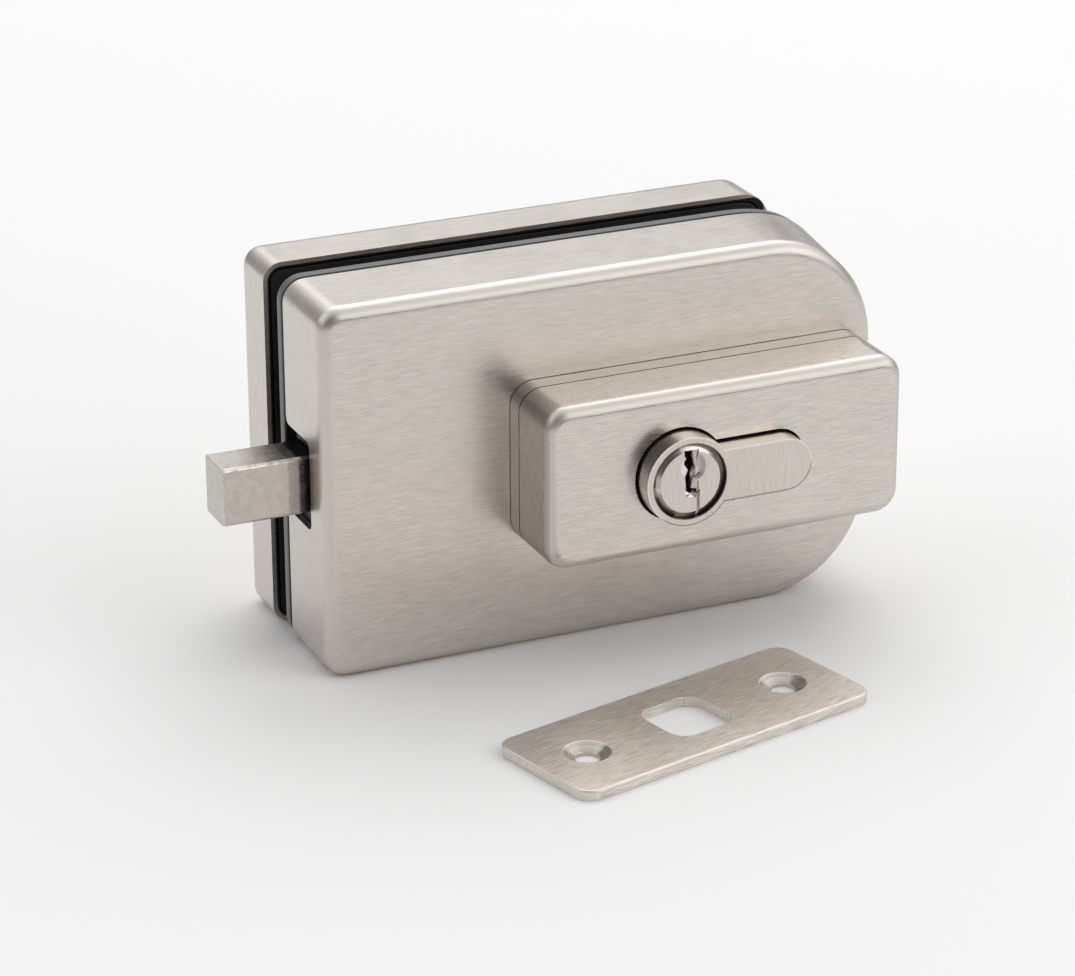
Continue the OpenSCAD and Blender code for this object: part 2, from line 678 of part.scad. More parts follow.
module cam() color(steel) lock() sheet(cam_front, cam_back) translate([barrel_x, barrel_z]) difference() {
  union() {
    circle(r = cam_hub_r);
    rotate(nose_rest) intersection() {
      circle(r = cam_r);
      polygon([[0, -nose_w / 2 - 2], [cam_r + 1, -nose_w / 2], [cam_r + 1, nose_w / 2], [0, nose_w / 2 + 2]]);
    }
  }
  circle(r = stub_r + thread_gap);
  plug_tabs(thread_gap);
}

module circlip() color(steel) lock() sheet(circlip_front + thread_gap, circlip_front + circlip_t - thread_gap)
  translate([barrel_x, barrel_z]) difference() {
    circle(r = stub_r + circlip_out);
    circle(r = stub_r - circlip_in + thread_gap);
    translate([-circlip_slot / 2, -2 * stub_r]) square([circlip_slot, 2 * stub_r - circlip_slot]);
  }

module key_pins() color(brass) lock() for (i = [0:pin_count - 1]) {
  pin_rod(i, pin_r, key_pin_start + pin_taper, key_pin_end);
  translate([barrel_x + key_pin_start, first_pin + i * pin_pitch, barrel_z]) rotate([0, 90, 0])
    cylinder(r1 = pin_r - pin_taper, r2 = pin_r, h = pin_taper);
}

module driver_pins() color(steel) lock()
  for (i = [0:pin_count - 1]) pin_rod(i, pin_r, driver_start, driver_start + driver_l);

module pin_caps() color(brass) lock()
  for (i = [0:pin_count - 1]) pin_rod(i, chamber_r - thread_gap, cap_start, cap_start + cap_l);

// one wound spring along z from 0 to l, as a closed tube swept along its helix
module spring(l) {
  sides = 6;
  steps = spring_turns * 8;
  rise = l - 2 * spring_wire_r;
  points = [for (k = [0:steps], s = [0:sides - 1])
    let (turn = 360 * spring_turns * k / steps, a = 360 * s / sides,
      r = spring_coil_r + spring_wire_r * cos(a))
    [r * cos(turn), r * sin(turn), spring_wire_r + rise * k / steps + spring_wire_r * sin(a)]];
  sides_a = [for (k = [0:steps - 1], s = [0:sides - 1])
    [k * sides + s, k * sides + (s + 1) % sides, (k + 1) * sides + (s + 1) % sides]];
  sides_b = [for (k = [0:steps - 1], s = [0:sides - 1])
    [k * sides + s, (k + 1) * sides + (s + 1) % sides, (k + 1) * sides + s]];
  first = [for (s = [1:sides - 2]) [0, s + 1, s]];
  last = [for (s = [1:sides - 2]) [steps * sides, steps * sides + s, steps * sides + s + 1]];
  polyhedron(points, concat(sides_a, sides_b, first, last));
}

module pin_springs() color(steel) lock() for (i = [0:pin_count - 1])
  translate([barrel_x + driver_start + driver_l + 0.1, first_pin + i * pin_pitch, barrel_z])
    rotate([0, 90, 0]) spring(cap_start - driver_start - driver_l - 0.2);

module bolt() color(nickel) lock() difference() {
  translate([-throw, bolt_front, mid_z - bolt_h / 2]) rotate([90, 0, 90]) linear_extrude(throw + bolt_in)
    polygon([[bolt_chamfer, 0], [bolt_t - bolt_chamfer, 0], [bolt_t, bolt_chamfer],
      [bolt_t, bolt_h - bolt_chamfer], [bolt_t - bolt_chamfer, bolt_h], [bolt_chamfer, bolt_h],
      [0, bolt_h - bolt_chamfer], [0, bolt_chamfer]]);
  for (x = carriage_rivet_xs)
    rod(x, mid_z, carriage_rivet_r + thread_gap, bolt_front - over, bolt_front + carriage_rivet_in + 0.2);
}

module carriage_outline() difference() {
  union() {
    translate([carriage_x0, mid_z - bolt_h / 2 + slide_gap])
      square([carriage_end - carriage_x0, bolt_h - 2 * slide_gap]);
    translate([riser_x0, mid_z]) square([riser_w, arm_top - mid_z]);
    translate([riser_x0, arm_low]) square([arm_end - riser_x0, arm_h]);
  }
  // arch for the cam's nose, which passes while the bolt moves under it
  for (x = [arch_x - arch_drift, arch_x + arch_drift]) translate([x, barrel_z]) circle(r = arch_r);
  translate([arch_x - arch_drift, barrel_z]) square([2 * arch_drift, arch_r]);
  // one detent notch for the thrown bolt and one for the drawn bolt
  for (x = [detent_x, detent_x - throw]) polygon([[x - detent_half, arm_top + 0.01],
    [x, arm_top - detent_deep], [x + detent_half, arm_top + 0.01]]);
}

module bolt_carriage() color(zinc) lock() difference() {
  sheet(carriage_front, bolt_front) carriage_outline();
  for (x = carriage_rivet_xs)
    rod(x, mid_z, carriage_rivet_r + thread_gap, carriage_front - over, bolt_front + over);
}

module carriage_rivets() color(steel) lock()
  for (x = carriage_rivet_xs)
    rod(x, mid_z, carriage_rivet_r, carriage_front, bolt_front + carriage_rivet_in);

module detent_spring() color(steel) lock() difference() {
  sheet(floor_top + leaf_side, floor_top + leaf_side + leaf_w) polygon([
    [leaf_x0, leaf_z], [detent_x - bump_half, leaf_z], [detent_x, bump_z],
    [detent_x + bump_half, leaf_z], [detent_x + leaf_tail, leaf_z],
    [detent_x + leaf_tail, leaf_z + leaf_t], [detent_x + bump_half - leaf_t / 2, leaf_z + leaf_t],
    [detent_x, bump_z + leaf_t], [detent_x - bump_half + leaf_t / 2, leaf_z + leaf_t],
    [leaf_x0, leaf_z + leaf_t]]);
  for (x = detent_rivet_xs) translate([x, floor_top + leaf_side + leaf_w / 2, leaf_z - over])
    cylinder(r = detent_rivet_r + thread_gap, h = leaf_t + 2 * over);
}

module detent_rivets() color(steel) lock()
  for (x = detent_rivet_xs) translate([x, floor_top + leaf_side + leaf_w / 2, leaf_z - detent_head_h]) {
    cylinder(r = detent_rivet_r + detent_head_h, h = detent_head_h);
    cylinder(r = detent_rivet_r, h = detent_head_h + leaf_t + detent_rivet_in);
  }

module strike_plate() color(satin)
  translate([strike_x, -case_d / 2 - strike_y, 0]) rotate(strike_turn) difference() {
    translate([-strike_l / 2, -strike_w / 2, strike_t]) rotate([-90, 0, 0])
      soft_plate(strike_l, strike_w, strike_t, [for (i = [0:3]) strike_corner_r], strike_edge_r);
    translate([-strike_window / 2, -strike_window / 2, -over]) linear_extrude(strike_t + 2 * over)
      outline(strike_window, strike_window, [for (i = [0:3]) window_r]);
    for (side = [-1, 1]) translate([side * strike_holes / 2, 0, 0]) {
      translate([0, 0, -over]) cylinder(r = strike_hole_r, h = strike_t + 2 * over);
      translate([0, 0, strike_t - sink_d]) cylinder(r1 = strike_hole_r, r2 = sink_r, h = sink_d + 0.001);
    }
  }

front_cover();
lock_case();
case_lid();
lid_screws();
front_gasket();
rear_gasket();
rear_plate();
rear_cover();
clamp_screws();
clamp_sleeves();
cover_screws();
housing_base();
housing_cover();
housing_screws();
cylinder_body();
cylinder_screw();
cylinder_plug();
cam();
circlip();
key_pins();
driver_pins();
pin_springs();
pin_caps();
bolt();
bolt_carriage();
carriage_rivets();
detent_spring();
detent_rivets();
strike_plate();
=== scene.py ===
"""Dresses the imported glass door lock: its finishes, a plain studio and the camera."""

import json
import math

import bmesh
import bpy
from mathutils import Matrix, Vector


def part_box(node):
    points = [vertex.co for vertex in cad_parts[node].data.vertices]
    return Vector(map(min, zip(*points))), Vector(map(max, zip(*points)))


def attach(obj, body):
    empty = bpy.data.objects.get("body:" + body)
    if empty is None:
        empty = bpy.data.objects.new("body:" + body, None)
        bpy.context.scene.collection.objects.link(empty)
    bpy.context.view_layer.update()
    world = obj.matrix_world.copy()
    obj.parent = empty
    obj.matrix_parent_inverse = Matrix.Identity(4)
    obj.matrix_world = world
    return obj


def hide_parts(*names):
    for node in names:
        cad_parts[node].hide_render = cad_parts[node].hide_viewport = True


bl_info = {
    "name": "Glass door lock looks",
    "version": (1, 0, 0),
    "blender": (4, 5, 0),
    "location": "3D View > Sidebar > Door lock",
    "description": "Finishes, studio and camera for a lock on a frameless glass door",
    "category": "Object",
}

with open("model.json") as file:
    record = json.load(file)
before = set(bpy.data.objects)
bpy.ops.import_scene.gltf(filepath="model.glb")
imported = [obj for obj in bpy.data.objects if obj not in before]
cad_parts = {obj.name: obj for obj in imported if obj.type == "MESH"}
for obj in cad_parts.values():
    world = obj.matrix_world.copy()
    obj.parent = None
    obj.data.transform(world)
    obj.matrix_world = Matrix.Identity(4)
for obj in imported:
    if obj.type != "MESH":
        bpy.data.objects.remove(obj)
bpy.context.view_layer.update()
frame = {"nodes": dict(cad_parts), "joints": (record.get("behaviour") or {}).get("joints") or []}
nodes = frame["nodes"]
MM = 0.001
PHOTO_WIDTH = 1075

X, Y, Z = Vector((1, 0, 0)), Vector((0, 1, 0)), Vector((0, 0, 1))

CASE_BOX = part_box("front_cover")
COUNTER_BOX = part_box("rear_cover")
LIP_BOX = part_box("front_gasket")
PLUG_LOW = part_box("cylinder_plug")[0]
HOUSING_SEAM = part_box("housing_base")[0][1]
CASE_END = CASE_BOX[0][0]
REAR_RIM = COUNTER_BOX[0][1]

# outlines with rounded corners: the radius at the bolt's end and the one at the far end
CASE_CORNERS = (5.0 * MM, 21.6 * MM)
LIP_CORNERS = (6.8 * MM, 20.9 * MM)
COUNTER_CORNERS = (5.0 * MM, 8.0 * MM)
# the same corners as the photograph shows them
CASE_TIGHT = 4.2 * MM
LIP_TIGHT = (4.0 * MM, 20.9 * MM)
COUNTER_TIGHT = (3.6 * MM, 5.5 * MM)
# rounding error that a corner's first and last points may have, and its least radius when moved
CORNER_SLACK = 0.001 * MM
CORNER_LEAST = 0.1 * MM
# from the face's rolled edge to the glass the round end widens, half-way round by this much
CASE_ROLLED = -6.7 * MM
END_FLARE = 1.7 * MM
# the front gasket's edge: how wide a band is squeezed out, how far, and how much more inside it
LIP_BAND = 0.85 * MM
LIP_OUT = 0.68 * MM
LIP_FOLLOW = 0.5
# how thick the painted shade on the lip's front part is, where it lies in the gap behind the case's
# rim
LIP_SHADE_DEPTH = 0.22 * MM
# the counter side's far end: where it starts, and how much it is shortened
COUNTER_MIDDLE = 30 * MM
COUNTER_SHORT = 1.4 * MM

# the profile cylinder's face
PLUG_AXIS = Vector(frame["joints"][0]["pos_m"])
PLUG_FACE = PLUG_LOW[1]
PLUG_RADIUS = PLUG_AXIS.x - PLUG_LOW[0]
RING_RADIUS = 8.5 * MM
TAIL_RADIUS = 5.0 * MM
TAIL_REACH = 19.5 * MM
DISH_MIDDLE = PLUG_AXIS + Vector((0.6, 0, 2.8)) * MM
DISH_RADIUS = 2.7 * MM

# painted reflections on the plug's polished bevel, where it would mirror something dark: the
# direction from the plug's axis, the cosines between which the dark patch fades in, and how dark it
# is
PLUG_REFLECTIONS = [
    (Vector((-0.82, 0, 0.57)), (0.76, 0.80), 0.60),
    (Vector((0.72, 0, -0.69)), (0.55, 0.75), 0.20),
    (Vector((-0.72, 0, -0.69)), (0.90, 0.93), 0.40),
]
# the dark joint round the plug: its distance from the plug, and the widths between which it fades
JOINT_OFFSET = 0.03 * MM
JOINT_FADE = (0.07 * MM, 0.18 * MM)
# the painted highlight and shade round the cylinder's face, standing in for a fine chamfer: how
# wide it is, and how far below the axis it turns to painted shade
FACE_LIGHT_FADE = (-0.38 * MM, -0.18 * MM)
FACE_SHADE_LOW = (1.5 * MM, 4.5 * MM)

# distances between which a tone fades out: from the housing's seam, and, for the painted shade on
# the counter cover's cut edge, from its rim along Y and from its outline inward
SEAM_FADE = (0.05 * MM, 0.16 * MM)
RIM_DEPTH = (0.2 * MM, 0.5 * MM)
RIM_BROWN = (0.80 * MM, 0.95 * MM)
# the way that the case's round end faces where a painted dark reflection lies on it
DARK_REFLECTION_FACING = Vector((0.766, 0, 0.643))

# painted shade on the bolt where it goes into the case, and round the bolt's mouth, along X
SHADE_STEP_FADE = (CASE_END - 3.8 * MM, CASE_END - 3.3 * MM)
TOP_SHADE_FADE = (CASE_END - 11 * MM, CASE_END - 1.5 * MM)
DEEP_SHADE_FADE = (CASE_END - 1.9 * MM, CASE_END - 1.2 * MM)
MOUTH_SHADE_FADE = (CASE_END + 4 * MM, CASE_END + 12 * MM)

# the strike plate as it lies
STRIKE_TURN = math.radians(14)
STRIKE_ALONG = Vector((math.cos(STRIKE_TURN), math.sin(STRIKE_TURN), 0))
STRIKE_MIDDLE = Vector((-4, -52.3, 0)) * MM
STRIKE_HOLE_REACH = 22.5 * MM
STRIKE_HOLES = [STRIKE_MIDDLE + side * STRIKE_HOLE_REACH * STRIKE_ALONG for side in (-1, 1)]
STRIKE_SINK = 4.5 * MM

# limits between which a surface counts as facing squarely along an axis
SQUARE_ON = (0.90, 0.985)
BEVEL_SAMPLES = 6
# widths of the turned rings on the plug and in the strike plate's sinks
TURNED_WIDTH = 0.16 * MM
SINK_WIDTH = 0.2 * MM
# the darkest scratches on brushed metal, as a share of its colour
SCRATCH_SHARE = 0.05
# sizes of the patches of scratches and of the soft clouds on brushed metal
PATCH_SIZE = 9 * MM
CLOUD_SIZE = 18 * MM
# how far hairlines and scratches are drawn out, and how much wider a scratch is
HAIRLINE_RUN = 16
SCRATCH_RUN = 40
SCRATCH_WIDTH = 1.4

# outlines of the key slot's two wards, in millimetres from the plug's axis across and up, and from
# its face inward
RIGHT_WARD = [
    (0.60, -1.75, 1.1), (1.72, -1.75, 0.5), (1.72, -0.15, 0.45), (0.95, 0.6, 0.45),
    (2.02, 1.4, 0.45), (1.95, 2.3, 0.45), (1.45, 3.0, 0.45), (1.45, 4.6, 0.35),
    (1.70, 5.9, 0.35), (0.85, 5.9, 1.2), (0.75, 4.4, 1.3), (0.95, 2.6, 1.3),
    (0.45, 1.2, 1.3), (0.60, 0.2, 1.3),
]
FOOT_WARD = [
    (-1.05, -2.55, 0.25), (-0.45, -3.25, 0.2), (1.05, -3.25, 0.2), (1.72, -2.6, 0.3),
    (1.40, -1.95, 1.4), (0.30, -2.35, 1.6), (-0.45, -1.90, 1.5), (-1.0, -1.75, 0.9),
]
# how deep the wards go, and how far the middle of a ward's front stands out, in millimetres
WARD_BACK = 6 * MM
WARD_CROWN = 0.25

# the point that the camera's distance is measured from
CASE_MIDDLE = Vector((1, -9.3, 35)) * MM
SENSOR_WIDTH = 36
FLOOR_HALF = 4.0
# the room's grey, from straight below at 0 to straight above at 1
SKY_GREYS = [
    (0.0, 0.8), (0.5, 0.10), (0.58, 0.16), (0.67, 1.05), (0.73, 1.30), (0.85, 1.2), (1.0, 0.9),
]
# the room's two dark places: the cosines between which each fades in, and its grey
DARK_SIDE_FADE = (0.68, 0.93)
DARK_SIDE_GREY = (0.16, 0.16, 0.16)
DARK_CORNER_FADE = (0.955, 0.985)
DARK_CORNER_GREY = (0.30, 0.30, 0.30)
# the lamps, in metres, and the fill lamp's power as a share of the key lamp's
KEY_LAMP = {"size": (1.4, 1.0), "place": (0.45, 0.85, 1.30), "aim": (0, 0, 0.035)}
FILL_LAMP = {"size": (1.7, 1.1), "place": (1.10, -1.10, 0.82), "aim": (0.15, -0.1, 0)}
FILL_SHARE = 0.90


class Value:
    """One output in a material's nodes; sums written with it become Math nodes."""

    def __init__(self, surface, socket):
        self.surface = surface
        self.socket = socket

    def math(self, operation, *others):
        sockets = dict(enumerate((self,) + others))
        return self.surface.add("Math", {"operation": operation}, sockets)

    def __add__(self, other):
        return self.math("ADD", other)

    def __radd__(self, other):
        return self.math("ADD", other)

    def __sub__(self, other):
        return self.math("SUBTRACT", other)

    def __rsub__(self, other):
        return self.surface.add("Math", {"operation": "SUBTRACT"}, {0: other, 1: self})

    def __mul__(self, other):
        return self.math("MULTIPLY", other)

    def __truediv__(self, other):
        return self.math("DIVIDE", other)

    def __pow__(self, other):
        return self.math("POWER", other)

    def __neg__(self):
        return self.math("MULTIPLY", -1.0)

    def __abs__(self):
        return self.math("ABSOLUTE")

    def least(self, other):
        return self.math("MINIMUM", other)

    def most(self, other):
        return self.math("MAXIMUM", other)

    def step(self, low, high):
        """Goes smoothly from 0 at low to 1 at high."""
        return self.surface.add(
            "MapRange",
            {"interpolation_type": "SMOOTHSTEP"},
            {"Value": self, "From Min": low, "From Max": high},
        )


class Surface:
    """A material that is made of nodes, on one Principled shader, or the world's nodes."""

    def __init__(self, name, data=None):
        self.block = data or bpy.data.materials.new(name)
        self.block.use_nodes = True
        self.tree = self.block.node_tree
        self.tree.nodes.clear()

    def add(self, kind, settings=None, sockets=None, out=0):
        """Adds a node, sets it, fills its sockets with numbers or links, and gives one output."""
        node = self.tree.nodes.new("ShaderNode" + kind)
        for key, value in (settings or {}).items():
            if key == "stops":
                ramp = node.color_ramp
                while len(ramp.elements) < len(value):
                    ramp.elements.new(1.0)
                for element, (place, grey) in zip(ramp.elements, value):
                    element.position = place
                    element.color = (grey, grey, grey, 1)
            else:
                setattr(node, key, value)
        for key, value in (sockets or {}).items():
            if isinstance(value, Value):
                self.tree.links.new(value.socket, node.inputs[key])
            elif isinstance(value, (tuple, Vector)) and node.inputs[key].type == "RGBA":
                node.inputs[key].default_value = (*value[:3], 1)
            else:
                node.inputs[key].default_value = value
        return Value(self, node.outputs[out]) if node.outputs else None

    def place(self):
        """The point on the piece, in metres in the lock's frame."""
        return self.add("TexCoord", out="Object")

    def towards(self, direction):
        """How far a point of the room lies in a direction, from -1 to 1, in the world's nodes."""
        return self.dot(self.add("TexCoord", out="Generated"), Vector(direction).normalized())

    def facing(self, axis):
        """How far the surface faces along an axis, from -1 to 1."""
        return self.dot(self.add("TexCoord", out="Normal"), axis)

    def square_on(self):
        """1 where the surface faces along any axis, 0 where it is rolled or rounded."""
        most = abs(self.facing(X)).most(abs(self.facing(Y))).most(abs(self.facing(Z)))
        return most.step(*SQUARE_ON)

    def dot(self, a, b):
        return self.add("VectorMath", {"operation": "DOT_PRODUCT"}, {0: a, 1: b}, out="Value")

    def scaled(self, a, factor):
        return self.add("VectorMath", {"operation": "SCALE"}, {0: a, "Scale": factor})

    def minus(self, a, b):
        return self.add("VectorMath", {"operation": "SUBTRACT"}, {0: a, 1: b})

    def length(self, a):
        return self.add("VectorMath", {"operation": "LENGTH"}, {0: a}, out="Value")

    def off_axis(self, out, axis):
        """Distance from an axis, for a place that is measured from a point on it."""
        return self.length(self.minus(out, self.scaled(axis, self.dot(out, axis))))

    def mix(self, share, a, b):
        """A colour between a and b."""
        sockets = {0: share, 6: a, 7: b}
        return self.add("Mix", {"data_type": "RGBA", "clamp_factor": True}, sockets, out=2)

    def blend(self, share, a, b):
        """A number between a and b."""
        return self.add("Mix", {"data_type": "FLOAT"}, {0: share, 2: a, 3: b}, out=0)

    def toned(self, tone, colour, dark, light):
        """A colour from dark to light times the given one, for tones from -0.5 to 0.5."""
        return self.mix(tone + 0.5, times(dark, colour), times(light, colour))

    def noise(self, where, size, detail=2.0, rough=0.5):
        """Soft noise from 0 to 1 whose spots are about size across."""
        sockets = {"Vector": where, "Scale": 1 / size, "Detail": detail, "Roughness": rough}
        return self.add("TexNoise", {"noise_dimensions": "3D"}, sockets, out=0)

    def stretched(self, where, along, longer):
        """The place squeezed along a direction, so that noise in it is drawn out by that factor."""
        run = self.scaled(along, self.dot(where, along) * (1 - 1 / longer))
        return self.minus(where, run)

    def grain(self, where, along, width, longer):
        """Hairlines of a brushed surface along one direction, from 0 to 1."""
        return self.noise(self.stretched(where, along, longer), width, detail=3.0, rough=0.6)

    def rings(self, where, centre, axis, width):
        """Turned rings round an axis, from 0 to 1."""
        out = self.minus(where, centre)
        coords = self.add(
            "CombineXYZ", None, {0: self.off_axis(out, axis), 1: self.dot(out, axis), 2: 0.0}
        )
        return self.noise(coords, width, detail=2.0, rough=0.7)

    def edge(self, radius):
        """The normal rounded over near edges, and a mask that is 1 on them."""
        soft = self.add("Bevel", {"samples": BEVEL_SAMPLES}, {"Radius": radius})
        hard = self.add("NewGeometry", out="True Normal")
        return soft, (1 - self.dot(soft, hard)).step(0.01, 0.16)

    def bumped(self, height, depth, normal):
        """The normal with a height on it, depth in metres between the height's 0 and 1."""
        sockets = {"Strength": 1.0, "Distance": depth, "Height": height, "Normal": normal}
        return self.add("Bump", None, sockets)

    def finish(self, **sockets):
        """Closes the material with a Principled shader."""
        named = {key.replace("_", " "): value for key, value in sockets.items()}
        shader = self.add("BsdfPrincipled", None, named)
        self.add("OutputMaterial", None, {"Surface": shader})
        return self.block


class LockFinishSettings(bpy.types.PropertyGroup):
    """Colours and finishes that a user would change."""

    steel: bpy.props.FloatVectorProperty(
        name="Satin steel",
        description="Colour of the covers, the housing and the strike plate",
        subtype="COLOR",
        size=3,
        min=0,
        max=1,
        default=(0.640, 0.596, 0.550),
    )
    nickel: bpy.props.FloatVectorProperty(
        name="Satin nickel",
        description="Colour of the cylinder and the bolt",
        subtype="COLOR",
        size=3,
        min=0,
        max=1,
        default=(0.635, 0.588, 0.538),
    )
    zinc: bpy.props.FloatVectorProperty(
        name="Cast zinc",
        description="Colour of the cast chassis and counter plate",
        subtype="COLOR",
        size=3,
        min=0,
        max=1,
        default=(0.42, 0.43, 0.45),
    )
    plated: bpy.props.FloatVectorProperty(
        name="Plated steel",
        description="Colour of the screws, rivets, springs and the cam",
        subtype="COLOR",
        size=3,
        min=0,
        max=1,
        default=(0.45, 0.45, 0.46),
    )
    gasket: bpy.props.FloatVectorProperty(
        name="Gasket",
        description="Colour of the gasket behind the case",
        subtype="COLOR",
        size=3,
        min=0,
        max=1,
        default=(0.122, 0.12, 0.122),
    )
    brass: bpy.props.FloatVectorProperty(
        name="Brass",
        description="Colour of the pins in the cylinder",
        subtype="COLOR",
        size=3,
        min=0,
        max=1,
        default=(0.76, 0.60, 0.30),
    )
    hairline: bpy.props.FloatProperty(
        name="Hairline width",
        description="Width of the finest lines in the brushed grain",
        subtype="DISTANCE",
        unit="LENGTH",
        default=0.00022,
    )
    hairline_depth: bpy.props.FloatProperty(
        name="Hairline depth",
        description="Depth of the brushed grain",
        subtype="DISTANCE",
        unit="LENGTH",
        default=0.000010,
    )
    edge_radius: bpy.props.FloatProperty(
        name="Broken edges",
        description="Rounding that sharp edges show",
        subtype="DISTANCE",
        unit="LENGTH",
        default=0.00012,
    )


class LockStudioSettings(bpy.types.PropertyGroup):
    """The camera and the lights."""

    azimuth: bpy.props.FloatProperty(
        name="Azimuth",
        description="How far the camera stands to the left of the case's face",
        subtype="ANGLE",
        unit="ROTATION",
        default=math.radians(23.848),
    )
    elevation: bpy.props.FloatProperty(
        name="Elevation",
        description="How far the camera looks down",
        subtype="ANGLE",
        unit="ROTATION",
        default=math.radians(22.392),
    )
    roll: bpy.props.FloatProperty(
        name="Roll",
        description="Turn of the camera about its own axis",
        subtype="ANGLE",
        unit="ROTATION",
        default=math.radians(-0.276),
    )
    distance: bpy.props.FloatProperty(
        name="Distance",
        description="Distance from the camera to the case",
        subtype="DISTANCE",
        unit="LENGTH",
        default=0.72167,
    )
    aside: bpy.props.FloatVectorProperty(
        name="Aside",
        description="How far right and up the case's middle lies from the middle of the picture",
        subtype="XYZ",
        size=3,
        default=(0.013342, 0.005965, 0),
    )
    focal_pixels: bpy.props.FloatProperty(
        name="Focal length",
        description="Focal length, in pixels of a picture 1075 pixels wide",
        default=3945.2,
    )
    floor_colour: bpy.props.FloatVectorProperty(
        name="Floor",
        description="Colour of the floor",
        subtype="COLOR",
        size=3,
        min=0,
        max=1,
        default=(0.93, 0.93, 0.93),
    )
    sky: bpy.props.FloatProperty(
        name="Sky",
        description="Strength of the even light all round",
        default=0.88,
    )
    dark_side: bpy.props.FloatVectorProperty(
        name="Dark side",
        description="Direction of the dark part of the room, behind the camera",
        subtype="DIRECTION",
        size=3,
        default=(-0.45, -0.78, 0.45),
    )
    dark_corner: bpy.props.FloatVectorProperty(
        name="Dark corner",
        description="Direction of a darker corner of the room, behind the lock on its left",
        subtype="DIRECTION",
        size=3,
        default=(-0.40, 0.84, 0.36),
    )
    key: bpy.props.FloatProperty(
        name="Key light",
        description="Power of the large soft light",
        subtype="POWER",
        unit="POWER",
        default=6.0,
    )


def times(factor, colour):
    """A colour made darker or lighter, no channel over 1."""
    return tuple(min(1.0, factor * c) for c in colour)


def linked(name, data):
    """A new object with this data, in the scene."""
    made = bpy.data.objects.new(name, data)
    bpy.context.scene.collection.objects.link(made)
    return made


def middle_and_half(box):
    """The middle of a box and half its size, each as x and z."""
    (x0, _, z0), (x1, _, z1) = box
    return ((x0 + x1) / 2, (z0 + z1) / 2), ((x1 - x0) / 2, (z1 - z0) / 2)


def outward(x, z, box, radii):
    """Distance of a point from a rounded outline, negative inside, and the outward direction."""
    middle, half = middle_and_half(box)
    radius = radii[0] if x < middle[0] else radii[1]
    side = (math.copysign(1, x - middle[0]), math.copysign(1, z - middle[1]))
    past = (abs(x - middle[0]) - half[0] + radius, abs(z - middle[1]) - half[1] + radius)
    if past[0] > 0 and past[1] > 0:
        far = math.hypot(*past)
        return far - radius, (side[0] * past[0] / far, side[1] * past[1] / far)
    if past[0] > past[1]:
        return past[0] - radius, (side[0], 0.0)
    return past[1] - radius, (0.0, side[1])


def squared(point, box, radius, tighter):
    """Moves a point near a corner of a rounded outline to the outline with tighter corners."""
    middle, half = middle_and_half(box)
    off = (point.x - middle[0], point.z - middle[1])
    past = (abs(off[0]) - half[0] + radius, abs(off[1]) - half[1] + radius)
    far = math.hypot(*past)
    if min(past) < -CORNER_SLACK or far == 0:
        return
    reach = max(far - radius + tighter, CORNER_LEAST)
    point.x = middle[0] + math.copysign(half[0] - tighter + reach * past[0] / far, off[0])
    point.z = middle[1] + math.copysign(half[1] - tighter + reach * past[1] / far, off[1])


def flared(point, box, radii, share):
    """Moves a point of the round end outward, most where the outline slopes at 45 degrees."""
    if point.x > (box[0][0] + box[1][0]) / 2:
        _, way = outward(point.x, point.z, box, radii)
        push = END_FLARE * (2 * way[0] * way[1]) ** 2 * max(0.0, min(1.0, share))
        point.x += way[0] * push
        point.z += way[1] * push


def reshaped(node, name, move):
    """A copy of a CAD node's mesh with its points moved, which stands for the node."""
    mesh = nodes[node].data.copy()
    mesh.name = name
    for corner in mesh.vertices:
        move(corner.co)
    mesh.update()
    mesh.materials.clear()
    piece = linked(name, mesh)
    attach(piece, "root")
    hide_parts(node)
    return piece


def case_outline(point):
    """The case's shell: tighter corners at the bolt's end, a round end wider at the glass."""
    if point.x < 0:
        squared(point, CASE_BOX, CASE_CORNERS[0], CASE_TIGHT)
    depth = (point.y - CASE_ROLLED) / (CASE_BOX[1][1] - CASE_ROLLED)
    flared(point, CASE_BOX, CASE_CORNERS, depth)


def lip_outline(point):
    """The front gasket, squeezed out until it is flush with the case."""
    if point.x < 0:
        squared(point, LIP_BOX, LIP_CORNERS[0], LIP_TIGHT[0])
    gap, way = outward(point.x, point.z, LIP_BOX, LIP_TIGHT)
    if gap > -LIP_BAND:
        push = LIP_OUT - LIP_FOLLOW * gap
        point.x += way[0] * push
        point.z += way[1] * push
    flared(point, LIP_BOX, LIP_TIGHT, 1.0)


def counter_outline(point):
    """The counter side: a little shorter at the far end, with tighter corners."""
    far_end = point.x > COUNTER_MIDDLE
    squared(point, COUNTER_BOX, COUNTER_CORNERS[far_end], COUNTER_TIGHT[far_end])
    if far_end:
        point.x -= COUNTER_SHORT


def rim_distance(s, place, box, radius):
    """What outward measures, in a material, for an outline with equal corners."""
    middle, half = middle_and_half(box)
    across = abs(s.dot(place, X) - middle[0]) - (half[0] - radius)
    up = abs(s.dot(place, Z) - middle[1]) - (half[1] - radius)
    far = (across.most(0.0) ** 2 + up.most(0.0) ** 2) ** 0.5
    return far + across.most(up).least(0.0) - radius


def finishes():
    return bpy.context.scene.lock_finish


def studio():
    return bpy.context.scene.lock_studio


def dress(names, material):
    """Gives CAD nodes one material."""
    for name in names:
        mesh = nodes[name].data
        mesh.materials.clear()
        mesh.materials.append(material)


